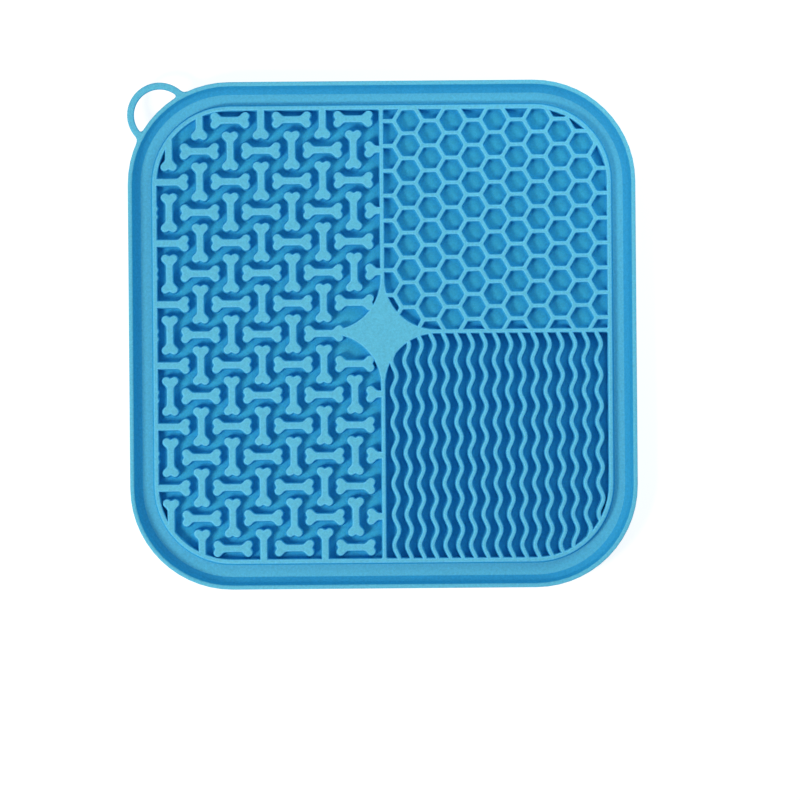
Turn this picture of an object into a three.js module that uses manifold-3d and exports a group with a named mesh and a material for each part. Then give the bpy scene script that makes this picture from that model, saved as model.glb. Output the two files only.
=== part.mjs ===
// A square moulded silicone lick mat: a rim, a spill channel inside it, and a raised licking field
// of bones, a honeycomb and wavy ribs round a four-pointed star. A hanging loop stands out at its
// top left corner. Millimetres, +X to the right and +Y up on the licking face, +Z out of it.
// The origin is the centre of the underside.
import * as THREE from 'three';
import { mergeVertices } from 'three/addons/utils/BufferGeometryUtils.js';
import Module from 'manifold-3d';

const wasm = await Module();
wasm.setup();

// Driving dimensions
const width = 200;
const half = width / 2;
const cornerRadius = 40.2;
const height = 10;
const floorHeight = 2.1;
const boneFloorHeight = 2.7;
const cellFloorHeight = 3.4;
const channelHeight = 4.4;
const ridgeHeight = 7;

// The air between the mat and its loop, how far a cut runs past a face, and the volume under which
// a pocket at the field's edge stays filled
const gap = 0.3;
const clear = 1;
const smallestPocket = 12;

// Facets in a quarter circle of the outline
const cornerSteps = 7;

// The tray's section, from the underside's edge up over the lip, down its steep inside and a slope
// into the spill channel, and up to the inner rim. Inset is how far in from the outer square a row
// lies.
const innerRimInset = 9.45;
const traySection = [
  { inset: 0.5, z: 0 },
  { inset: 0, z: 0.7 },
  { inset: 0.2, z: height - 0.4 },
  { inset: 0.6, z: height },
  { inset: 1.7, z: height },
  { inset: 2.8, z: 6.4 },
  { inset: 5, z: channelHeight },
  { inset: 9.35, z: channelHeight },
  { inset: innerRimInset, z: ridgeHeight },
];
const innerRimWidth = 1.95;
const fieldInset = innerRimInset + innerRimWidth;

// The two dividers cross at the star. The lying one runs only to the right of it.
const crossing = new THREE.Vector2(0, 1.2);
const dividerWidth = 1.7;
const starArcRadius = 20.3;
const starArcSteps = 5;

// Bones stand in a chequered square lattice, lying and upright in turn. An end that runs into a wall
// or nearly touches it is a plain shaft without lobes.
const bone = {
  pitch: 12.09,
  first: new THREE.Vector2(-23.27, 0.65),
  length: 15.5,
  shaftLength: 7,
  shaftWidth: 2.9,
  lobe: new THREE.Vector2(5.8, 3.4),
  tip: new THREE.Vector2(7.7, 2),
  notch: 7.15,
  nearWall: 0.8,
};

// Honeycomb of flat-topped cells in columns, every other column half a pitch higher. Its floor lies
// higher than the one between the bones, and the floor between the ribs is the lowest.
const cell = { pitch: 9.83, wall: 1.8, first: new THREE.Vector2(1.95, 0.95) };

// Wavy ribs, side by side, that swing in step.
const rib = {
  pitch: 5.025,
  width: 1.7,
  first: 4.61,
  swing: 0.93,
  period: 12.08,
  crestY: -40.6,
  bendReach: 1,
};

// The hanging loop is a ring whose inner half is lost in the mat's corner.
const loop = {
  outerRadius: 12.8,
  bandWidth: 2.7,
  thickness: 3,
  steps: 40,
  filletRadius: 2.4,
  filletSteps: 4,
};

// Points of an arc, both ends included
function arc(centre, radius, fromAngle, toAngle, steps) {
  const points = [];
  for (let i = 0; i <= steps; i += 1) {
    const angle = fromAngle + (toAngle - fromAngle) * i / steps;
    const step = new THREE.Vector2(Math.cos(angle), Math.sin(angle)).multiplyScalar(radius);
    points.push(step.add(centre));
  }
  return points;
}

// The signs of x and y in the four quarters, counterclockwise from the top right
const quarters = [[1, 1], [-1, 1], [-1, -1], [1, -1]];

// The mat's outline moved inwards by an inset, a square with round corners
function matOutline(inset) {
  const radius = cornerRadius - inset;
  const reach = half - cornerRadius;
  return quarters.flatMap(([sx, sy], quarter) => {
    const centre = new THREE.Vector2(sx * reach, sy * reach);
    const start = quarter * Math.PI / 2;
    return arc(centre, radius, start, start + Math.PI / 2, cornerSteps);
  });
}

// A closed body through a stack of outlines with the same number of points
function loft(rows) {
  const count = rows[0].outline.length;
  const positions = rows.flatMap(({ outline, z }) => outline.flatMap((point) => [point.x, point.y, z]));
  const triangles = [];
  for (let row = 0; row + 1 < rows.length; row += 1) {
    for (let i = 0; i < count; i += 1) {
      const here = row * count + i;
      const next = row * count + (i + 1) % count;
      triangles.push(here, next, next + count, here, next + count, here + count);
    }
  }
  const lastRow = (rows.length - 1) * count;
  for (const [a, b, c] of THREE.ShapeUtils.triangulateShape(rows[0].outline, [])) {
    triangles.push(c, b, a);
  }
  for (const [a, b, c] of THREE.ShapeUtils.triangulateShape(rows.at(-1).outline, [])) {
    triangles.push(lastRow + a, lastRow + b, lastRow + c);
  }
  const geometry = new THREE.BufferGeometry();
  geometry.setAttribute('position', new THREE.Float32BufferAttribute(positions, 3));
  geometry.setIndex(triangles);
  return geometry;
}

// A flat outline pulled up into a body with upright sides
function prism(outline, low, high) {
  const depth = high - low;
  const geometry = new THREE.ExtrudeGeometry(new THREE.Shape(outline), { depth, bevelEnabled: false });
  return geometry.translate(0, 0, low);
}

function block(lowX, highX, lowY, highY, low, high) {
  const corners = [[lowX, lowY], [highX, lowY], [highX, highY], [lowX, highY]];
  return prism(corners.map(([x, y]) => new THREE.Vector2(x, y)), low, high);
}

// Geometry to solid and back, for cuts and joins
function toSolid(geometry) {
  const bare = geometry.clone();
  bare.deleteAttribute('normal');
  bare.deleteAttribute('uv');
  const merged = mergeVertices(bare, 1e-4);
  return new wasm.Manifold(new wasm.Mesh({
    numProp: 3,
    vertProperties: new Float32Array(merged.attributes.position.array),
    triVerts: new Uint32Array(merged.index.array),
  }));
}

function toGeometry(solid) {
  const mesh = solid.getMesh();
  const geometry = new THREE.BufferGeometry();
  geometry.setAttribute('position', new THREE.BufferAttribute(mesh.vertProperties, 3));
  geometry.setIndex(new THREE.BufferAttribute(mesh.triVerts, 1));
  const faceted = geometry.toNonIndexed();
  faceted.computeVertexNormals();
  return faceted;
}

function joinAll(solids) {
  return solids.reduce((whole, next) => whole.add(next));
}

// Relief runs from inside the floor to just above the ridge tops, and is trimmed by the pocket.
const reliefLow = floorHeight - clear;
const reliefHigh = ridgeHeight + clear;

function relief(outline) {
  return toSolid(prism(outline, reliefLow, reliefHigh));
}

const leftField = toSolid(block(-half, crossing.x, -half, half, reliefLow, reliefHigh));
const topRightField = toSolid(block(crossing.x, half, crossing.y, half, reliefLow, reliefHigh));
const bottomRightField = toSolid(block(crossing.x, half, -half, crossing.y, reliefLow, reliefHigh));

// How far a point lies inside the licking field, less than 0 outside it
function depthInField(point) {
  const radius = cornerRadius - fieldInset;
  const reach = half - cornerRadius;
  const beyondX = Math.abs(point.x) - reach;
  const beyondY = Math.abs(point.y) - reach;
  const beyondCorner = Math.hypot(Math.max(beyondX, 0), Math.max(beyondY, 0));
  return radius - beyondCorner - Math.min(Math.max(beyondX, beyondY), 0);
}

// The right end of a bone: two lobes with a notch between them, or a plain shaft
function boneEnd(plain) {
  const { length, shaftLength, shaftWidth, lobe, tip, notch } = bone;
  const shoulder = shaftWidth / 2;
  if (plain) {
    return [-shoulder, shoulder].map((y) => new THREE.Vector2(length, y));
  }
  const quarter = [new THREE.Vector2(shaftLength / 2, shoulder), lobe, tip];
  return [
    ...quarter.map((point) => new THREE.Vector2(point.x, -point.y)),
    new THREE.Vector2(notch, 0),
    ...quarter.toReversed(),
  ];
}

function boneOutline(centre, turn, plainEnds) {
  const origin = new THREE.Vector2();
  const [end, otherEnd] = plainEnds.map((plain) => boneEnd(plain).map((point) => point.clone()));
  const whole = [...end, ...otherEnd.map((point) => point.negate())];
  return whole.map((point) => point.rotateAround(origin, turn).add(centre));
}

function bones() {
  const solids = [];
  const across = Math.ceil(width / bone.pitch);
  const wall = crossing.x - dividerWidth / 2;
  for (let i = -across; i <= 2; i += 1) {
    for (let j = -across; j <= across; j += 1) {
      const upright = (i + j) % 2 !== 0;
      const turn = upright ? Math.PI / 2 : 0;
      const centre = new THREE.Vector2(i, j).multiplyScalar(bone.pitch).add(bone.first);
      const plainEnds = [turn, turn + Math.PI].map((angle) => {
        const tip = arc(centre, bone.length / 2, angle, angle, 1)[0];
        return depthInField(tip) < bone.nearWall || tip.x > wall;
      });
      const onDivider = upright && Math.abs(centre.x - crossing.x) < bone.pitch / 2;
      const underStar = upright && j === 0 && i === 1;
      if (!onDivider && !underStar && !plainEnds.every((plain) => plain)) {
        solids.push(relief(boneOutline(centre, turn, plainEnds)));
      }
    }
  }
  return joinAll(solids).intersect(leftField);
}

function honeycomb() {
  const columnPitch = cell.pitch * Math.sqrt(3) / 2;
  const radius = (cell.pitch - cell.wall) / Math.sqrt(3);
  const corners = 6;
  const openings = [];
  for (let column = 0; column * columnPitch < half; column += 1) {
    const shift = column % 2 === 0 ? 0 : 0.5;
    for (let row = -1; row * cell.pitch < half; row += 1) {
      const centre = new THREE.Vector2(column * columnPitch, (row + shift) * cell.pitch).add(cell.first);
      openings.push(relief(arc(centre, radius, 0, 2 * Math.PI, corners).slice(1)));
    }
  }
  return topRightField.subtract(joinAll(openings));
}

// One side of a rib: two points round each bend that it passes on the outside, one on the inside
function ribSide(x, outward) {
  const bends = Math.ceil(width / rib.period);
  const points = [];
  for (let i = -bends; i <= bends; i += 1) {
    const y = rib.crestY + i * rib.period / 2;
    const bend = i % 2 === 0 ? 1 : -1;
    const edge = x + bend * rib.swing + outward * rib.width / 2;
    const inView = y > -half && y < crossing.y + rib.period;
    if (inView && bend === outward) {
      points.push(new THREE.Vector2(edge, y - rib.bendReach));
      points.push(new THREE.Vector2(edge, y + rib.bendReach));
    } else if (inView) {
      points.push(new THREE.Vector2(edge, y));
    }
  }
  return points;
}

function wavyRibs() {
  const solids = [];
  for (let x = rib.first; x < half - fieldInset; x += rib.pitch) {
    solids.push(relief([...ribSide(x, 1), ...ribSide(x, -1).toReversed()]));
  }
  return joinAll(solids).intersect(bottomRightField);
}

function dividers() {
  const { x, y } = crossing;
  const edge = dividerWidth / 2;
  const upright = toSolid(block(x - edge, x + edge, -half, half, reliefLow, reliefHigh));
  const lying = toSolid(block(x, half, y - edge, y + edge, reliefLow, reliefHigh));
  return upright.add(lying);
}

// Four hollow arcs between the dividers' edges
function star() {
  const offset = dividerWidth / 2 + starArcRadius;
  const outline = quarters.flatMap(([sx, sy], quarter) => {
    const centre = new THREE.Vector2(crossing.x + sx * offset, crossing.y + sy * offset);
    const start = quarter * Math.PI / 2 - Math.PI / 2;
    return arc(centre, starArcRadius, start, start - Math.PI / 2, starArcSteps);
  });
  return relief(outline);
}

function matSolid() {
  const tray = toSolid(loft(traySection.map(({ inset, z }) => ({ outline: matOutline(inset), z }))));
  const field = toSolid(prism(matOutline(fieldInset), floorHeight, reliefHigh));
  const cellFloor = toSolid(block(crossing.x, half, crossing.y, half, reliefLow, cellFloorHeight));
  const boneFloor = toSolid(block(-half, crossing.x, -half, half, reliefLow, boneFloorHeight));
  const raised = joinAll([dividers(), star(), bones(), boneFloor, honeycomb(), cellFloor, wavyRibs()]);
  const pockets = field.subtract(raised).decompose().filter((pocket) => pocket.volume() > smallestPocket);
  return tray.subtract(joinAll(pockets));
}

// The corner between two circles that cross, filled by a third one that touches both from outside.
// Its root lies inside both circles, this share of the way from the first centre to the second.
const filletRoot = 0.2;

function filletOutline(first, second, side) {
  const axis = second.centre.clone().sub(first.centre);
  const distance = axis.length();
  const along = axis.angle();
  const firstReach = first.radius + loop.filletRadius;
  const secondReach = second.radius + loop.filletRadius;
  const cosine = (distance ** 2 + firstReach ** 2 - secondReach ** 2) / (2 * distance * firstReach);
  const toFillet = along + side * Math.acos(cosine);
  const centre = arc(first.centre, firstReach, toFillet, toFillet, 1)[0];
  const toFirst = first.centre.clone().sub(centre).angle();
  const toSecond = second.centre.clone().sub(centre).angle();
  const sweep = ((toSecond - toFirst) * side + 4 * Math.PI) % (2 * Math.PI);
  const hollow = arc(centre, loop.filletRadius, toFirst, toFirst + side * sweep, loop.filletSteps);
  const inside = first.centre.clone().lerp(second.centre, filletRoot);
  return side > 0 ? [...hollow, inside] : [...hollow.toReversed(), inside];
}

function loopSolid() {
  const reach = half - cornerRadius;
  const ringCentre = new THREE.Vector2(-half + loop.outerRadius, half - loop.outerRadius);
  const ring = { centre: ringCentre, radius: loop.outerRadius };
  const matCorner = { centre: new THREE.Vector2(-reach, reach), radius: cornerRadius };
  const low = height - loop.thickness;
  const bandInside = loop.outerRadius - loop.bandWidth;
  const rim = arc(ringCentre, ring.radius, 0, 2 * Math.PI, loop.steps).slice(1);
  const disc = toSolid(prism(rim, low, height));
  const hole = arc(ringCentre, bandInside, 0, 2 * Math.PI, loop.steps).slice(1);
  const feet = [1, -1].map((side) => toSolid(prism(filletOutline(ring, matCorner, side), low, height)));
  return joinAll([disc, ...feet])
    .subtract(toSolid(prism(hole, low - clear, height + clear)))
    .subtract(toSolid(prism(matOutline(-gap), low - clear, height + clear)));
}

const silicone = new THREE.MeshStandardMaterial({ color: 0x4fb2dc, roughness: 0.55, metalness: 0 });

const lickMat = new THREE.Group();
lickMat.name = 'lick_mat';
for (const [name, solid] of [['mat', matSolid()], ['hanging_loop', loopSolid()]]) {
  const mesh = new THREE.Mesh(toGeometry(solid), silicone.clone());
  mesh.name = name;
  lickMat.add(mesh);
}

export default lickMat;
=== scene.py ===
"""A square moulded silicone lick mat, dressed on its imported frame.

The mat is one moulding, so it is one mesh: a tray with a rim and a spill channel, into which the
spaces between the bones, the honeycomb cells and the spaces between the wavy ribs are pressed, and
to whose top left corner the hanging loop is joined. All lengths are in metres.
"""

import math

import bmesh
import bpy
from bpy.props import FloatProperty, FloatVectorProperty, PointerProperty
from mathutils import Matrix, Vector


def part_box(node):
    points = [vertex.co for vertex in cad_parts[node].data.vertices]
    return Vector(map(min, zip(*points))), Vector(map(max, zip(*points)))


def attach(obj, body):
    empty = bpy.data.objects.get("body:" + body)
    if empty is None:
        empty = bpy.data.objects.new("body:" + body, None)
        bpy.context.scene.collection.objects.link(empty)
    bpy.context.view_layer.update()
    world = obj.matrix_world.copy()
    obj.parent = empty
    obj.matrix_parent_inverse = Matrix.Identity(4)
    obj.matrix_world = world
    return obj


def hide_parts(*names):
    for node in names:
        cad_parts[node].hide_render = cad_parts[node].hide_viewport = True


bl_info = {
    "name": "Lick Mat",
    "version": (1, 0, 0),
    "blender": (4, 5, 0),
    "location": "3D View > Sidebar > Lick Mat",
    "description": "Moulds a silicone lick mat with a hanging loop on its packed frame",
    "category": "Add Mesh",
}

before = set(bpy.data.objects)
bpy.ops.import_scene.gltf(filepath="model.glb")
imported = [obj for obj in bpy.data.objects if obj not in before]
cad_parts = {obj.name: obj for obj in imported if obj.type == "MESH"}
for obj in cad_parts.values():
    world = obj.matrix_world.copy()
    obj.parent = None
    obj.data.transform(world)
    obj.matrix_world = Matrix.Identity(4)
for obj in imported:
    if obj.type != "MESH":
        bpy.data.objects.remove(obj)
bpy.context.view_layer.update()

PIECE = "lick_mat"
MAT_LOW, MAT_HIGH = (Vector(corner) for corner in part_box("mat"))
LOOP_LOW, LOOP_HIGH = (Vector(corner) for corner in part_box("hanging_loop"))
IMAGE_PIXELS = 800


def length(label, tip, value):
    """A length in metres that a user may change."""
    return FloatProperty(name=label, description=tip, default=value, unit="LENGTH", precision=5)


def colour(label, tip, value):
    """A colour that a user may change."""
    return FloatVectorProperty(
        name=label, description=tip, default=value, size=3, min=0, max=1, subtype="COLOR"
    )


def turn(label, tip, degrees):
    """An angle that a user may change, given in degrees."""
    return FloatProperty(name=label, description=tip, default=math.radians(degrees), subtype="ANGLE")


def share(label, tip, value):
    """A plain number that a user may change."""
    return FloatProperty(name=label, description=tip, default=value, min=0, precision=3)


class LICKMAT_PG_tray(bpy.types.PropertyGroup):
    """The tray's outline, heights and mould details."""
    half_width: length("Half Width", "Half the side of the mat", MAT_HIGH.x)
    height: length("Height", "Top of the outer lip", MAT_HIGH.z)
    corner_radius: length("Corner Radius", "Radius of the mat's corners", 0.0402)
    floor_height: length("Floor", "Top of the floor between the ribs", 0.0021)
    bone_floor_height: length("Bone Floor", "Top of the floor between the bones", 0.0027)
    cell_floor_height: length("Cell Floor", "Top of the floor in the honeycomb", 0.0034)
    channel_height: length("Channel Floor", "Top of the floor in the spill channel", 0.0044)
    ridge_height: length("Ridge Tops", "Top of the patterns and the inner rim", 0.0070)
    lip_width: length("Lip Width", "Thickness of the lip at its top", 0.0018)
    lip_round: length("Lip Round", "Radius along the lip's outer edge", 0.0004)
    steep_foot: length("Steep Foot", "From the mat's side to where the lip's steep inside ends", 0.0028)
    slope_height: length("Slope Height", "Rise of the slope beside the channel", 0.0020)
    slope_foot: length("Slope Foot", "From the mat's side to the foot of that slope", 0.0050)
    inner_rim_inset: length("Inner Rim Inset", "From the mat's side to the inner rim", 0.00935)
    inner_rim_width: length("Inner Rim Width", "Thickness of the inner rim", 0.00195)
    field_lift: length("Field Lift", "How much nearer the field's lower side lies to the middle", 0.0006)
    edge_round: length("Edge Round", "Radius along the top edges", 0.0007)
    foot_round: length("Foot Round", "Radius where a wall meets the floor", 0.00015)
    draft: length("Draft", "How much a wall leans out over its height", 0.0003)
    joint_round: length("Joint Round", "Radius in the corners between walls", 0.0006)


class LICKMAT_PG_patterns(bpy.types.PropertyGroup):
    """The dividers, the star, the bones, the honeycomb and the ribs."""
    crossing_y: length("Crossing", "Height of the lying divider above the middle", 0.0012)
    divider_width: length("Divider Width", "Thickness of the dividers", 0.0017)
    star_radius: length("Star Radius", "Radius of the star's hollow sides", 0.0203)
    bone_pitch: length("Bone Pitch", "Distance between neighbouring bones", 0.01209)
    bone_shaft: length("Bone Shaft", "Width of a bone's shaft", 0.0029)
    bone_length: length("Bone Length", "Length of a bone over its lobes", 0.0155)
    lobe_radius: length("Lobe Radius", "Radius of a bone's lobes", 0.0017)
    lobe_spread: length("Lobe Spread", "Distance between the two lobes of an end", 0.0032)
    notch_depth: length("Notch Depth", "Depth of the notch between two lobes", 0.0006)
    cell_pitch: length("Cell Pitch", "Distance between neighbouring cells", 0.00983)
    cell_wall: length("Cell Wall", "Thickness of the honeycomb's walls", 0.0018)
    cell_round: length("Cell Round", "Radius in the cells' corners", 0.0007)
    rib_pitch: length("Rib Pitch", "Distance between neighbouring ribs", 0.005046)
    rib_width: length("Rib Width", "Thickness of a rib", 0.00172)
    rib_swing: length("Rib Swing", "How far a rib swings to each side", 0.00096)
    rib_period: length("Rib Period", "Length of one wave", 0.012134)


class LICKMAT_PG_loop(bpy.types.PropertyGroup):
    """The hanging loop at the top left corner."""
    outer_radius: length("Outer Radius", "Radius of the loop's outside", 0.0128)
    band_width: length("Band Width", "Width of the loop's band", 0.0027)
    root: length("Root", "How far the loop reaches into the lip", 0.0012)
    outer_fillet: length("Outer Fillet", "Radius where the loop leaves the mat outside", 0.0024)
    inner_fillet: length("Inner Fillet", "Radius in the corners of the hole", 0.0009)


class LICKMAT_PG_finish(bpy.types.PropertyGroup):
    """Colour and surface of the silicone, with colours for its painted shade and painted highlight."""
    blue: colour("Silicone", "Colour where the surface lies open", (0.12, 0.503, 0.722))
    # Painted shade: the shaded and pocket colours darken the silicone where it is closed in
    shaded_blue: colour("Shaded Silicone", "Colour where it is half closed in", (0.040, 0.385, 0.61))
    pocket_shade_blue: colour("Deep Silicone", "Colour down in the pockets", (0.033, 0.40, 0.74))
    # Painted shade: an even, slightly darker blue down in the spill channel
    channel_shade_blue: colour("Channel Silicone", "Colour in the spill channel", (0.095, 0.47, 0.71))
    # Painted shade down the leaning surfaces inside the lip
    slope_shade_blue: colour("Steep Silicone", "Colour down the slopes inside the lip", (0.024, 0.325, 0.65))
    # Painted highlight along the walls' top edges
    edge_highlight_blue: colour("Pale Silicone", "Colour along the walls' top edges", (0.15, 0.60, 0.98))
    roughness: share("Roughness", "Mean roughness of the surface", 0.5)
    glow: share("Light Inside", "Share of the light that passes into the silicone", 0.3)


class LICKMAT_PG_stage(bpy.types.PropertyGroup):
    """Floor, lights and camera."""
    floor_white: colour("Floor", "Colour of the floor", (0.3, 0.3, 0.3))
    floor_glow: share("Floor Glow", "Brightness that the floor has of its own", 0.83)
    key_power: share("Key Power", "Watts of the main light", 7.9)
    key_size: length("Key Size", "Width of the main light", 0.3)
    key_distance: length("Key Distance", "From the middle of the mat to the main light", 1.0)
    key_azimuth: turn("Key Azimuth", "Where the main light stands, from +X towards +Y", 212)
    key_elevation: turn("Key Elevation", "How high the main light stands", 45)
    key_tint: colour("Key Tint", "Colour of the main light", (1.0, 0.8, 0.64))
    fill_power: share("Fill Power", "Watts of the weaker light on the other side", 0.40)
    fill_size: length("Fill Size", "Width of the weaker light", 0.2)
    fill_distance: length("Fill Distance", "From the middle of the mat to the weaker light", 0.35)
    fill_azimuth: turn("Fill Azimuth", "Where the weaker light stands, from +X towards +Y", 50)
    fill_elevation: turn("Fill Elevation", "How high the weaker light stands", 38)
    fill_tint: colour("Fill Tint", "Colour of the weaker light", (1.0, 1.0, 0.85))
    sky_strength: share("Sky Strength", "Brightness of the light from all sides", 0.46)
    sky_tint: colour("Sky Tint", "Colour of the light from all sides", (0.58, 0.83, 1.0))
    camera_height: length("Camera Height", "Distance of the camera above the mat", 2.5)
    camera_roll: turn("Camera Roll", "Turn of the picture", -0.47)
    pixels_per_metre: share("Picture Scale", "Pixels of the picture for a metre of mat", 2540.0)
    centre_x: share("Centre X", "Pixel column of the mat's middle", 382.75)
    centre_y: share("Centre Y", "Pixel row of the mat's middle", 334.65)


# Outlines are lists of points, counterclockwise seen from above.

QUARTERS = ((1, 1), (-1, 1), (-1, -1), (1, -1))


def arc(centre, radius, start, end, steps):
    """Points of an arc from one angle to another, in degrees, both ends included."""
    angles = (math.radians(start + (end - start) * i / steps) for i in range(steps + 1))
    return [(centre[0] + radius * math.cos(a), centre[1] + radius * math.sin(a)) for a in angles]


LEAST_STRETCH = 0.5


def grown(outline, distance):
    """The outline with every point moved out along its own normal, less so at sharp corners."""
    moved = []
    for before, here, after in zip(outline[-1:] + outline[:-1], outline, outline[1:] + outline[:1]):
        first = (Vector(here) - Vector(before)).normalized()
        second = (Vector(after) - Vector(here)).normalized()
        normal = Vector((first.y + second.y, -first.x - second.x)).normalized()
        stretch = max(normal.dot(Vector((first.y, -first.x))), LEAST_STRETCH)
        moved.append(tuple(Vector(here) + normal * (distance / stretch)))
    return moved


def growing(outline):
    """A function that gives the outline grown by any distance."""
    return lambda distance: grown(outline, distance)


def round_square(tray, inset, steps=14):
    """The mat's outline moved inwards; from the channel's middle on its lower side is lifted."""
    reach = tray.half_width - tray.corner_radius
    radius = tray.corner_radius - inset
    inner = inset > (tray.slope_foot + tray.inner_rim_inset) / 2
    points = []
    for quarter, (side_x, side_y) in enumerate(QUARTERS):
        lift = tray.field_lift if inner and side_y < 0 else 0
        middle = (side_x * reach, side_y * reach + lift)
        points += arc(middle, radius, quarter * 90, quarter * 90 + 90, steps)
    return points


# Mould sections: rows of how far the outline grows and the height.

ROUND_STEPS = 3

# How far a cut runs out and up past a rounded edge, in radii of that edge
PAST_EDGE = 1.1
PAST_TOP = 0.4


def sunken_rows(tray, floor):
    """From the floor up the wall of a pocket and out over its top edge."""
    foot, edge, top = tray.foot_round, tray.edge_round, tray.ridge_height
    angles = [math.pi / 2 * i / ROUND_STEPS for i in range(ROUND_STEPS + 1)]
    rows = [(-tray.draft - foot * (1 - math.sin(a)), floor + foot * (1 - math.cos(a))) for a in angles]
    rows += [(edge * (1 - math.cos(a)), top - edge + edge * math.sin(a)) for a in angles]
    return rows + [(edge * PAST_EDGE, top + edge * PAST_TOP)]


def standing_rows(tray, floor):
    """From below the floor up the wall of a ridge and in over its top edge."""
    foot, edge, top = tray.foot_round, tray.edge_round, tray.ridge_height
    angles = [math.pi / 2 * i / ROUND_STEPS for i in range(ROUND_STEPS + 1)]
    rows = [(tray.draft + foot * 1.2, floor - foot * 0.2)]
    rows += [(tray.draft + foot * (1 - math.sin(a)), floor + foot * (1 - math.cos(a))) for a in angles]
    rows += [(edge * (math.cos(a) - 1), top - edge + edge * math.sin(a)) for a in angles]
    return rows + [(-edge * PAST_EDGE, top + edge * PAST_TOP)]


def tray_rows(tray):
    """The tray's section as rows of inset and height, from the underside over the lip and the
    channel to the top of the inner rim."""
    top, channel, ridge = tray.height, tray.channel_height, tray.ridge_height
    rim, foot, edge, lip = tray.inner_rim_inset, tray.foot_round, tray.edge_round, tray.lip_round
    angles = [math.pi / 2 * i / ROUND_STEPS for i in range(ROUND_STEPS + 1)]
    underside = [(0.0006, 0), (0.00025, 0.00008), (0.00006, 0.00028), (0, 0.0007)]
    lip_lean = 0.00005
    outside = [(lip_lean + lip * (1 - math.cos(a)), top - lip + lip * math.sin(a)) for a in angles]
    inside = [
        (tray.lip_width - edge + edge * math.sin(a), top - edge + edge * math.cos(a)) for a in angles
    ]
    steep_foot = Vector((tray.steep_foot, channel + tray.slope_height))
    slope_foot = Vector((tray.slope_foot, channel))
    steep = (Vector((tray.lip_width, top - edge)) - steep_foot).normalized()
    slope = (steep_foot - slope_foot).normalized()
    bend = 0.0003
    bends = [
        steep_foot + steep * bend,
        steep_foot + (steep - slope) * bend * 0.2,
        steep_foot - slope * bend,
        slope_foot + slope * bend,
        slope_foot + Vector((0.1, 0.16)) * bend,
        slope_foot + Vector((bend, 0)),
    ]
    lean = tray.draft
    foot_rows = [
        (rim - lean - foot + foot * math.sin(a), channel + foot * (1 - math.cos(a))) for a in angles
    ]
    rim_rows = [(rim + edge * (1 - math.cos(a)), ridge - edge + edge * math.sin(a)) for a in angles]
    return underside + outside + inside + [tuple(point) for point in bends] + foot_rows + rim_rows


def loft(shell, outline_of, rows):
    """Adds a closed body through a stack of outlines to a bmesh."""
    rings = [
        [shell.verts.new((x, y, height)) for x, y in outline_of(growth)] for growth, height in rows
    ]
    for low, high in zip(rings, rings[1:]):
        for i in range(len(low)):
            j = (i + 1) % len(low)
            shell.faces.new((low[i], low[j], high[j], high[i]))
    shell.faces.new(rings[0][::-1])
    shell.faces.new(rings[-1])


def moulded(name, bodies):
    """An object with one closed body for each outline function and its rows."""
    shell = bmesh.new()
    for outline_of, rows in bodies:
        loft(shell, outline_of, rows)
    mesh = bpy.data.meshes.new(name)
    shell.to_mesh(mesh)
    shell.free()
    piece = bpy.data.objects.new(name, mesh)
    bpy.context.scene.collection.objects.link(piece)
    return piece


def combine(piece, tool, operation):
    """Joins the tool to the piece, or cuts with it, and removes the tool."""
    change = piece.modifiers.new("combine", "BOOLEAN")
    change.operation = operation
    change.object = tool
    change.solver = "MANIFOLD"
    bake_modifiers(piece)
    bpy.data.objects.remove(tool)
    if not piece.data.polygons:
        raise RuntimeError(f"{piece.name} came out empty after {operation.lower()}")


def bake_modifiers(piece):
    """Puts what the modifiers give into the mesh itself."""
    view = bpy.context.evaluated_depsgraph_get()
    mesh = bpy.data.meshes.new_from_object(piece.evaluated_get(view))
    piece.modifiers.clear()
    old = piece.data
    piece.data = mesh
    bpy.data.meshes.remove(old)


def settings(context):
    """The five groups of sizes and colours."""
    scene = context.scene
    return scene.lick_tray, scene.lick_patterns, scene.lick_loop, scene.lick_finish, scene.lick_stage


def the_mat():
    """The piece under work, which the blank makes first."""
    piece = bpy.data.objects.get(PIECE)
    if piece is None:
        raise RuntimeError("The blank comes first")
    return piece


# The three regions of the licking field, with round corners where walls meet.

def joint(tray, x, y, side_x, side_y):
    """The rounded corner of a region at x, y, whose inside lies to side_x, side_y."""
    r = tray.joint_round
    start = QUARTERS.index((-side_x, -side_y)) * 90
    return arc((x + side_x * r, y + side_y * r), r, start, start + 90, 3)


def field_corner(tray, side_x, side_y):
    """A round corner of the licking field."""
    reach = tray.half_width - tray.corner_radius
    radius = tray.corner_radius - tray.inner_rim_inset - tray.inner_rim_width
    start = QUARTERS.index((side_x, side_y)) * 90
    lift = tray.field_lift if side_y < 0 else 0
    return arc((side_x * reach, side_y * reach + lift), radius, start, start + 90, 14)


def star_side(patterns, side_x, side_y):
    """A hollow side of the star, as the round corner of the region beyond it."""
    offset = patterns.divider_width / 2 + patterns.star_radius
    centre = (side_x * offset, patterns.crossing_y + side_y * offset)
    start = QUARTERS.index((-side_x, -side_y)) * 90
    return arc(centre, patterns.star_radius, start, start + 90, 14)


def field_reach(tray):
    """Half the width of the licking field."""
    return tray.half_width - tray.inner_rim_inset - tray.inner_rim_width


def left_region(tray, patterns):
    """Left of the upright divider, where the bones stand."""
    edge, reach = patterns.divider_width / 2, field_reach(tray)
    return (
        joint(tray, -edge, reach, -1, -1) + field_corner(tray, -1, 1) + field_corner(tray, -1, -1)
        + joint(tray, -edge, tray.field_lift - reach, -1, 1)
        + star_side(patterns, -1, -1) + star_side(patterns, -1, 1)
    )


def top_right_region(tray, patterns):
    """Above the lying divider, where the honeycomb is."""
    edge, reach = patterns.divider_width / 2, field_reach(tray)
    return (
        star_side(patterns, 1, 1) + joint(tray, reach, patterns.crossing_y + edge, -1, 1)
        + field_corner(tray, 1, 1) + joint(tray, edge, reach, 1, -1)
    )


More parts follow.
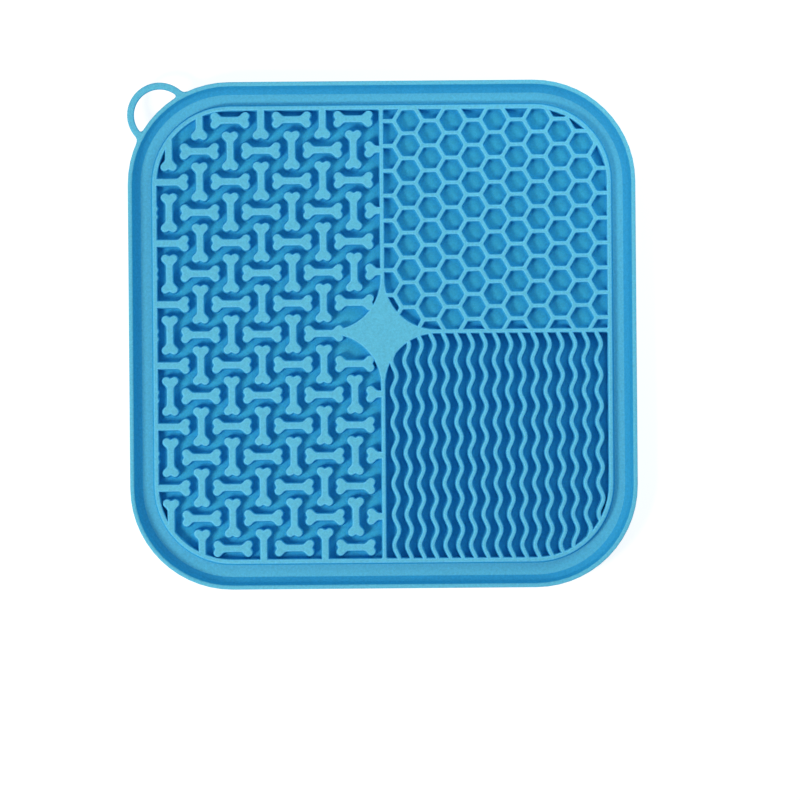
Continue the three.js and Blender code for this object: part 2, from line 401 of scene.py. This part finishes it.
def bottom_right_region(tray, patterns):
    """Below the lying divider, where the ribs run."""
    edge, reach = patterns.divider_width / 2, field_reach(tray)
    return (
        star_side(patterns, 1, -1) + joint(tray, edge, tray.field_lift - reach, 1, 1)
        + field_corner(tray, 1, -1) + joint(tray, reach, patterns.crossing_y - edge, -1, -1)
    )


def depth_in_field(tray, point):
    """How far a point lies inside the licking field, less than 0 outside it."""
    reach = tray.half_width - tray.corner_radius
    beyond = [abs(place) - reach for place in point]
    out = math.hypot(*(max(place, 0) for place in beyond)) + min(max(beyond), 0)
    return tray.corner_radius - tray.inner_rim_inset - tray.inner_rim_width - out


# Bones. They drift a little over the field, which the skew follows.

FIRST_BONE = Vector((-0.02324, 0.00071))
BONE_SKEW = Matrix(((1.0038, 0.0007), (0.003, 0.998)))
BONE_ROWS = range(-8, 9)
BONE_COLUMNS = range(-8, 3)


def bone_end(patterns, growth, plain):
    """The right end of a bone grown by a distance: two lobes and a notch, or a plain shaft."""
    radius = patterns.lobe_radius + growth
    lobe = Vector((patterns.bone_length / 2 - patterns.lobe_radius, patterns.lobe_spread / 2))
    shoulder = patterns.bone_shaft / 2 + growth
    if plain:
        beyond = patterns.bone_length
        return [Vector((beyond, -shoulder)), Vector((beyond, shoulder))]
    bend = Vector((lobe.x + shoulder - lobe.y - radius * math.sqrt(2), shoulder))
    soft = 0.0006
    tip = lobe.x + radius
    notch = tip - patterns.notch_depth
    shallow = 0.45 * lobe.y
    lip = math.degrees(math.asin((shallow - lobe.y) / radius))
    upper = [
        bend - Vector((soft, 0)),
        bend + Vector((-0.03, 0.25)) * soft,
        bend + Vector((soft, soft)) * 0.8,
    ]
    upper += [Vector(point) for point in arc(lobe, radius, 135, lip, 7)]
    upper += [Vector((notch + 0.00006, shallow * 0.4)), Vector((notch, 0))]
    return [Vector((point.x, -point.y)) for point in upper[:-1]] + upper[::-1]


def bone_outline(patterns, centre, upright, plain_ends, growth):
    """One bone grown by a distance."""
    first, second = (bone_end(patterns, growth, plain) for plain in plain_ends)
    turned = Matrix.Rotation(math.pi / 2 if upright else 0, 2)
    return [tuple(turned @ point + centre) for point in first + [-point for point in second]]


def bone_places(tray, patterns):
    """Every bone that stands clear in the field or runs into a wall: its centre, whether it is
    upright, and which of its ends run into a wall as a plain shaft."""
    wall = -patterns.divider_width / 2
    for column in BONE_COLUMNS:
        for row in BONE_ROWS:
            upright = (column + row) % 2 == 1
            centre = FIRST_BONE + BONE_SKEW @ Vector((column, row)) * patterns.bone_pitch
            on_divider = upright and abs(centre.x) < patterns.bone_pitch / 2
            under_star = upright and row == 0 and column == 1
            reach = Vector((0, 1) if upright else (1, 0)) * patterns.bone_length / 2
            plain_ends = tuple(
                depth_in_field(tray, tip) < 0 or tip.x > wall for tip in (centre + reach, centre - reach)
            )
            if not (on_divider or under_star or all(plain_ends)):
                yield centre, upright, plain_ends


# Honeycomb, with a drift of its own

FIRST_CELL = Vector((0.00192, 0.00093))
CELL_SKEW = Matrix(((1.0017, 0.0023), (0.0048, 0.9972)))


def cell_outline(patterns, centre, growth):
    """One flat-topped cell with soft corners."""
    middle = (patterns.cell_pitch - patterns.cell_wall) / 2
    spread = (middle - patterns.cell_round) / math.cos(math.pi / 6)
    points = []
    for corner in range(6):
        angle = corner * 60
        heading = Vector((math.cos(math.radians(angle)), math.sin(math.radians(angle))))
        points += arc(centre + heading * spread, patterns.cell_round + growth, angle - 30, angle + 30, 2)
    return points


def cell_places(tray, patterns):
    """Centres of the cells, in columns, every other column half a pitch higher."""
    column_pitch = patterns.cell_pitch * math.sqrt(3) / 2
    for column in range(math.ceil(tray.half_width / column_pitch)):
        for row in range(-1, math.ceil(tray.half_width / patterns.cell_pitch)):
            lift = row + (column % 2) / 2
            yield FIRST_CELL + CELL_SKEW @ Vector((column * column_pitch, lift * patterns.cell_pitch))


# Wavy ribs: the first one's middle, where its crest lies, how far the ribs lean, how much lower the
# crests lie towards the right, and how far above the mat's lower side the ribs start

FIRST_RIB = 0.00429
RIB_CREST_Y = -0.04059
RIB_LEAN = -0.0076
RIB_DROP = -0.0025
RIB_START = 0.006
RIB_STEPS = 14


def rib_outline(tray, patterns, x, growth):
    """One rib: a band along a wave, grown by a distance."""
    step = patterns.rib_period / RIB_STEPS
    count = math.ceil((tray.half_width + patterns.crossing_y) / step)
    turn_rate = 2 * math.pi / patterns.rib_period
    reach = patterns.rib_width / 2 + growth
    right, left = [], []
    for i in range(count + 1):
        y = RIB_START - tray.half_width + i * step
        phase = turn_rate * (y - RIB_CREST_Y - RIB_DROP * x)
        slope = RIB_LEAN - patterns.rib_swing * turn_rate * math.sin(phase)
        across = Vector((1, -slope)).normalized() * reach
        middle = Vector((x + RIB_LEAN * y + patterns.rib_swing * math.cos(phase), y))
        right.append(tuple(middle + across))
        left.append(tuple(middle - across))
    return right + left[::-1]


# Hanging loop, laid out from the centre of the mat's corner along the diagonal

def loop_outlines(tray, loop):
    """The outside of the loop, rooted in the lip, and its hole."""
    reach = tray.half_width - tray.corner_radius
    corner = Vector((-reach, reach))
    ring_reach = math.sqrt(2) * (tray.half_width - loop.outer_radius - reach)
    ring = Vector((ring_reach, 0))

    def touching(mat_radius, ring_radius):
        """Where a circle lies that is this far from both centres."""
        x = (ring_reach ** 2 + mat_radius ** 2 - ring_radius ** 2) / (2 * ring_reach)
        return Vector((x, math.sqrt(mat_radius ** 2 - x ** 2)))

    def heading(vector):
        return math.degrees(math.atan2(vector.y, vector.x))

    def mirrored(points):
        return [(x, -y) for x, y in reversed(points)]

    fillet = touching(tray.corner_radius + loop.outer_fillet, loop.outer_radius + loop.outer_fillet)
    side = heading(fillet - ring)
    root_angle = heading(fillet)
    outside = arc(ring, loop.outer_radius, 0, side, 16)
    outside += arc(fillet, loop.outer_fillet, side + 180, root_angle + 180, 6)[1:]
    outside += arc((0, 0), tray.corner_radius - loop.root, root_angle, 0, 8)
    outside += mirrored(outside[1:-1])

    hole_radius = loop.outer_radius - loop.band_width
    tip = touching(tray.corner_radius + loop.inner_fillet, hole_radius - loop.inner_fillet)
    side = heading(tip - ring)
    root_angle = heading(tip)
    hole = arc(ring, hole_radius, 0, side, 14)
    hole += arc(tip, loop.inner_fillet, side, root_angle + 180, 6)[1:]
    hole += arc((0, 0), tray.corner_radius - loop.root / 2, root_angle, 0, 6)
    hole += mirrored(hole[1:-1])

    turned = Matrix.Rotation(math.radians(135), 2)
    return ([tuple(turned @ Vector(point) + corner) for point in points] for points in (outside, hole))


def loop_bodies(tray, loop):
    """Rows of the loop's band and of its hole."""
    low, high, edge = LOOP_LOW.z, LOOP_HIGH.z - 0.00003, tray.edge_round
    angles = [math.pi / 2 * i / ROUND_STEPS for i in range(ROUND_STEPS + 1)]
    lower = [(edge * (math.sin(a) - 1), low + edge * (1 - math.cos(a))) for a in angles]
    upper = [(edge * (math.cos(a) - 1), high - edge + edge * math.sin(a)) for a in angles]
    band = lower + upper
    hole = [(-growth, height) for growth, height in band]
    flare, past = edge * 1.4, edge * PAST_TOP
    hole = [(flare, low - past)] + hole + [(flare, high + past)]
    return band, hole


class LICKMAT_OT_blank(bpy.types.Operator):
    """Moulds the plain tray: underside, lip, spill channel and inner rim."""
    bl_idname = "lick_mat.blank"
    bl_label = "Tray"

    def execute(self, context):
        tray, *_ = settings(context)
        rows = [(-inset, height) for inset, height in tray_rows(tray)]
        moulded(PIECE, [(lambda growth: round_square(tray, -growth), rows)])
        return {"FINISHED"}


class LICKMAT_OT_bones(bpy.types.Operator):
    """Sinks the left half of the field and leaves the bones standing."""
    bl_idname = "lick_mat.bones"
    bl_label = "Bones"

    def execute(self, context):
        tray, patterns, *_ = settings(context)
        floor = tray.bone_floor_height
        pocket = moulded("pocket", [(growing(left_region(tray, patterns)), sunken_rows(tray, floor))])
        rows = standing_rows(tray, floor)
        bones = [
            (lambda growth, place=place: bone_outline(patterns, *place, growth), rows)
            for place in bone_places(tray, patterns)
        ]
        combine(pocket, moulded("bones", bones), "DIFFERENCE")
        combine(the_mat(), pocket, "DIFFERENCE")
        return {"FINISHED"}


class LICKMAT_OT_honeycomb(bpy.types.Operator):
    """Sinks the cells of the honeycomb."""
    bl_idname = "lick_mat.honeycomb"
    bl_label = "Honeycomb"

    def execute(self, context):
        tray, patterns, *_ = settings(context)
        region = growing(top_right_region(tray, patterns))
        pocket = moulded("pocket", [(region, sunken_rows(tray, tray.cell_floor_height - 0.0002))])
        rows = sunken_rows(tray, tray.cell_floor_height)
        cells = [
            (lambda growth, at=centre: cell_outline(patterns, at, growth), rows)
            for centre in cell_places(tray, patterns)
        ]
        combine(pocket, moulded("cells", cells), "INTERSECT")
        combine(the_mat(), pocket, "DIFFERENCE")
        return {"FINISHED"}


class LICKMAT_OT_wavy_ribs(bpy.types.Operator):
    """Sinks the bottom right of the field and leaves the ribs standing."""
    bl_idname = "lick_mat.wavy_ribs"
    bl_label = "Wavy Ribs"

    def execute(self, context):
        tray, patterns, *_ = settings(context)
        region, floor = growing(bottom_right_region(tray, patterns)), tray.floor_height
        pocket = moulded("pocket", [(region, sunken_rows(tray, floor))])
        rows = standing_rows(tray, floor)
        count = int((field_reach(tray) - FIRST_RIB) / patterns.rib_pitch) + 1
        middles = [FIRST_RIB + i * patterns.rib_pitch for i in range(count)]
        ribs = [
            (lambda growth, x=middle: rib_outline(tray, patterns, x, growth), rows)
            for middle in middles
        ]
        combine(pocket, moulded("ribs", ribs), "DIFFERENCE")
        combine(the_mat(), pocket, "DIFFERENCE")
        return {"FINISHED"}


class LICKMAT_OT_hanging_loop(bpy.types.Operator):
    """Joins the hanging loop to the top left corner."""
    bl_idname = "lick_mat.hanging_loop"
    bl_label = "Hanging Loop"

    def execute(self, context):
        tray, _, loop, *_ = settings(context)
        outside, hole = loop_outlines(tray, loop)
        band_rows, hole_rows = loop_bodies(tray, loop)
        band = moulded("band", [(growing(outside), band_rows)])
        combine(band, moulded("hole", [(growing(hole), hole_rows)]), "DIFFERENCE")
        combine(the_mat(), band, "UNION")
        return {"FINISHED"}


# Shader recipes

class Amount:
    """A shader value that adds its own Math nodes when it is used in a sum."""

    def __init__(self, recipe, socket):
        self.recipe = recipe
        self.socket = socket

    def _math(self, operation, first, second):
        node = self.recipe.node("ShaderNodeMath", {"operation": operation}, {0: first, 1: second})
        return Amount(self.recipe, node.outputs[0])

    def __add__(self, other):
        return self._math("ADD", self, other)

    def __radd__(self, other):
        return self._math("ADD", other, self)

    def __sub__(self, other):
        return self._math("SUBTRACT", self, other)

    def __rsub__(self, other):
        return self._math("SUBTRACT", other, self)

    def __mul__(self, other):
        return self._math("MULTIPLY", self, other)

    def __rmul__(self, other):
        return self._math("MULTIPLY", other, self)


class Recipe:
    """A material's node tree with its shader in place."""

    def __init__(self, name):
        self.material = bpy.data.materials.new(name)
        self.material.use_nodes = True
        self.tree = self.material.node_tree
        self.tree.nodes.clear()
        self.shader = self.node("ShaderNodeBsdfPrincipled")
        self.node("ShaderNodeOutputMaterial", inputs={"Surface": self.shader.outputs["BSDF"]})

    def node(self, kind, settings=None, inputs=None):
        """A node with its settings made first and then its sockets set or linked."""
        node = self.tree.nodes.new(kind)
        for name, value in (settings or {}).items():
            setattr(node, name, value)
        self.feed(node, inputs or {})
        return node

    def feed(self, node, inputs):
        """Sets or links sockets of a node."""
        for name, value in inputs.items():
            if isinstance(value, Amount):
                value = value.socket
            if isinstance(value, bpy.types.NodeSocket):
                self.tree.links.new(value, node.inputs[name])
            else:
                node.inputs[name].default_value = value

    def amount(self, kind, settings=None, inputs=None, output=0):
        """A node's output as a value for sums."""
        return Amount(self, self.node(kind, settings, inputs).outputs[output])

    def between(self, value, low, high, low_result=0.0, high_result=1.0):
        """A value turned smoothly from one range into another."""
        inputs = {"Value": value, "From Min": low, "From Max": high}
        inputs |= {"To Min": low_result, "To Max": high_result}
        return self.amount("ShaderNodeMapRange", {"interpolation_type": "SMOOTHSTEP"}, inputs)

    def mixed(self, share, *colours):
        """Two colours mixed by a share."""
        first, second = (
            tint if isinstance(tint, bpy.types.NodeSocket) else (*tint, 1) for tint in colours
        )
        inputs = {0: share, 6: first, 7: second}
        return self.node("ShaderNodeMix", {"data_type": "RGBA"}, inputs).outputs[2]

    def dimmed(self, tint, strength):
        """A colour multiplied by a value."""
        inputs = {"Vector": tint, "Scale": strength}
        return self.node("ShaderNodeVectorMath", {"operation": "SCALE"}, inputs).outputs["Vector"]

    def noise(self, place, scale, detail=2.0):
        """Soft noise between 0 and 1, with scale in waves per metre."""
        inputs = {"Vector": place, "Scale": scale, "Detail": detail}
        return self.amount("ShaderNodeTexNoise", None, inputs)


def silicone(tray, finish):
    """Soft matte silicone with a fine mould grain, and light painted into its colour: painted shade in
    deeper blue where it is closed in, down the channel and down the slopes, and a painted highlight,
    paler, along the top edges."""
    recipe = Recipe("silicone")
    spot = recipe.node("ShaderNodeTexCoord")
    place = spot.outputs["Object"]
    height, rise = (
        recipe.amount("ShaderNodeSeparateXYZ", None, {"Vector": spot.outputs[name]}, "Z")
        for name in ("Object", "Normal")
    )
    # Ambient occlusion, which sets how much shade is painted into the colour
    openness = recipe.amount(
        "ShaderNodeAmbientOcclusion", {"samples": 8, "only_local": True}, {"Distance": 0.02}, "AO"
    )
    specks = recipe.noise(place, 1100.0)
    grain = recipe.noise(place, 3600.0)

    ridge, channel = tray.ridge_height, tray.channel_height
    upward = recipe.between(rise, 0.3, 0.6)
    raised = recipe.between(height, ridge - 0.0006, ridge - 0.0002)
    below_lip = recipe.between(height, ridge + 0.0015, ridge + 0.0010)
    # Where the channel's painted shade goes: surfaces facing up, above the channel floor's height and
    # below the ridge tops
    in_channel = recipe.between(height, channel - 0.0006, channel - 0.0001) * (1 - raised) * upward
    # Where painted shade goes: surfaces that lean, neither flat nor upright, except the rounded top
    # edges
    shaded_slope = recipe.between(rise, 0.97, 0.7) * recipe.between(rise, 0.12, 0.3)
    shaded_slope = shaded_slope * (1 - raised * recipe.between(rise, 0.4, 0.6))
    # Where the painted highlight goes: the rounding along top edges, below the lip's height
    highlight_edge = upward * recipe.between(rise, 0.999, 0.985) * raised * below_lip

    # Painted shade: the colour turns to the shaded and then the pocket blue as the surface gets more
    # closed in
    tone = recipe.mixed(recipe.between(openness, 0.3, 0.65), finish.pocket_shade_blue, finish.shaded_blue)
    tone = recipe.mixed(recipe.between(openness, 0.65, 0.95), tone, finish.blue)
    # Painted shade down in the channel
    tone = recipe.mixed(in_channel, tone, finish.channel_shade_blue)
    # Painted shade on the leaning surfaces
    tone = recipe.mixed(0.9 * shaded_slope, tone, finish.slope_shade_blue)
    # Painted highlight along the top edges
    tone = recipe.mixed(0.45 * highlight_edge, tone, finish.edge_highlight_blue)
    recipe.feed(recipe.shader, {
        "Base Color": recipe.dimmed(tone, 1 + 0.4 * (specks - 0.5) + 0.4 * (grain - 0.5)),
        "Roughness": finish.roughness + 0.1 * (specks - 0.5),
        "Normal": recipe.node("ShaderNodeBump", None, {
            "Height": 0.6 * grain + 0.4 * specks, "Strength": 0.25, "Distance": 0.0001,
        }).outputs["Normal"],
        "Subsurface Weight": finish.glow,
        "Subsurface Radius": (1.0, 0.9, 0.7),
        "Subsurface Scale": 0.0005,
        "IOR": 1.41,
        "Specular IOR Level": 0.0,
    })
    return recipe.material


class LICKMAT_OT_finish(bpy.types.Operator):
    """Smooths the moulding, gives it its silicone and hangs it on the frame."""
    bl_idname = "lick_mat.finish"
    bl_label = "Silicone Finish"

    def execute(self, context):
        tray, _, _, finish, _ = settings(context)
        piece = the_mat()
        piece.data.shade_smooth()
        piece.data.set_sharp_from_angle(angle=math.radians(50))
        smooth = piece.modifiers.new("smooth", "WEIGHTED_NORMAL")
        smooth.keep_sharp = True
        smooth.weight = 100
        bake_modifiers(piece)
        piece.data.materials.clear()
        piece.data.materials.append(silicone(tray, finish))
        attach(piece, "root")
        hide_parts("mat", "hanging_loop")
        return {"FINISHED"}


def floor_material(stage):
    """Matt white board."""
    recipe = Recipe("floor")
    recipe.feed(recipe.shader, {
        "Base Color": (*stage.floor_white, 1), "Roughness": 0.9, "Specular IOR Level": 0.1,
        "Emission Color": (1, 1, 1, 1), "Emission Strength": stage.floor_glow,
    })
    return recipe.material


class LICKMAT_OT_stage(bpy.types.Operator):
    """Lays the floor, hangs the lights and sets the camera."""
    bl_idname = "lick_mat.stage"
    bl_label = "Stage"

    def execute(self, context):
        stage = settings(context)[-1]
        lay_floor(stage)
        light_scene(stage)
        set_camera(stage)
        return {"FINISHED"}


def lay_floor(stage):
    """A wide pale floor just under the mat."""
    reach, gap = 4.0, 0.00005
    mesh = bpy.data.meshes.new("floor")
    corners = [(side_x * reach, side_y * reach, MAT_LOW.z - gap) for side_x, side_y in QUARTERS]
    mesh.from_pydata(corners, [], [(0, 1, 2, 3)])
    mesh.materials.append(floor_material(stage))
    floor = bpy.data.objects.new("floor", mesh)
    bpy.context.scene.collection.objects.link(floor)


def hang_light(stage, name):
    """A round soft light that faces the middle of the mat."""
    power, size, distance, azimuth, elevation, tint = (
        getattr(stage, f"{name}_{part}")
        for part in ("power", "size", "distance", "azimuth", "elevation", "tint")
    )
    level = math.cos(elevation)
    away = Vector((level * math.cos(azimuth), level * math.sin(azimuth), math.sin(elevation)))
    lamp = bpy.data.lights.new(name, "AREA")
    lamp.shape = "DISK"
    lamp.size = size
    lamp.energy = power
    lamp.color = tint
    light = bpy.data.objects.new(name, lamp)
    light.location = away * distance
    light.rotation_euler = away.to_track_quat("Z", "Y").to_euler()
    bpy.context.scene.collection.objects.link(light)


def light_scene(stage):
    """A main light from the lower left of the picture, a weaker one opposite, and an even sky."""
    hang_light(stage, "key")
    hang_light(stage, "fill")
    world = bpy.data.worlds.new("sky")
    world.use_nodes = True
    sky = world.node_tree.nodes["Background"]
    sky.inputs["Color"].default_value = (*stage.sky_tint, 1)
    sky.inputs["Strength"].default_value = stage.sky_strength
    bpy.context.scene.world = world
    bpy.context.scene.view_settings.view_transform = "Standard"


def set_camera(stage):
    """A long lens straight above, framed so that the mat lies where the picture shows it."""
    middle = IMAGE_PIXELS / 2
    offset = Vector((middle - stage.centre_x, stage.centre_y - middle)) / stage.pixels_per_metre
    offset = Matrix.Rotation(stage.camera_roll, 2) @ offset
    lens = bpy.data.cameras.new("camera")
    lens.sensor_width = 36.0
    lens.lens = lens.sensor_width * stage.camera_height * stage.pixels_per_metre / IMAGE_PIXELS
    lens.clip_end = 20.0
    camera = bpy.data.objects.new("camera", lens)
    camera.location = (offset.x, offset.y, MAT_HIGH.z + stage.camera_height)
    camera.rotation_euler = (0, 0, stage.camera_roll)
    bpy.context.scene.collection.objects.link(camera)
    bpy.context.scene.camera = camera


class LICKMAT_PT_panel(bpy.types.Panel):
    """Buttons and sizes of the lick mat, in the sidebar."""
    bl_idname = "LICKMAT_PT_panel"
    bl_label = "Lick Mat"
    bl_space_type = "VIEW_3D"
    bl_region_type = "UI"
    bl_category = "Lick Mat"

    def draw(self, context):
        for operator in OPERATORS:
            self.layout.operator(operator.bl_idname)
        for group in settings(context):
            box = self.layout.box()
            for name in type(group).__annotations__:
                box.prop(group, name)


GROUPS = {
    "lick_tray": LICKMAT_PG_tray,
    "lick_patterns": LICKMAT_PG_patterns,
    "lick_loop": LICKMAT_PG_loop,
    "lick_finish": LICKMAT_PG_finish,
    "lick_stage": LICKMAT_PG_stage,
}
OPERATORS = (
    LICKMAT_OT_blank,
    LICKMAT_OT_bones,
    LICKMAT_OT_honeycomb,
    LICKMAT_OT_wavy_ribs,
    LICKMAT_OT_hanging_loop,
    LICKMAT_OT_finish,
    LICKMAT_OT_stage,
)


def register():
    for group in GROUPS.values():
        bpy.utils.register_class(group)
    for name, group in GROUPS.items():
        setattr(bpy.types.Scene, name, PointerProperty(type=group))
    for kind in (*OPERATORS, LICKMAT_PT_panel):
        bpy.utils.register_class(kind)


def unregister():
    for kind in (LICKMAT_PT_panel, *reversed(OPERATORS)):
        bpy.utils.unregister_class(kind)
    for name in GROUPS:
        delattr(bpy.types.Scene, name)
    for group in reversed(GROUPS.values()):
        bpy.utils.unregister_class(group)


def main():
    register()
    bpy.ops.lick_mat.blank()
    bpy.ops.lick_mat.bones()
    bpy.ops.lick_mat.honeycomb()
    bpy.ops.lick_mat.wavy_ribs()
    bpy.ops.lick_mat.hanging_loop()
    bpy.ops.lick_mat.finish()
    bpy.ops.lick_mat.stage()


if __name__ == "__main__":
    main()
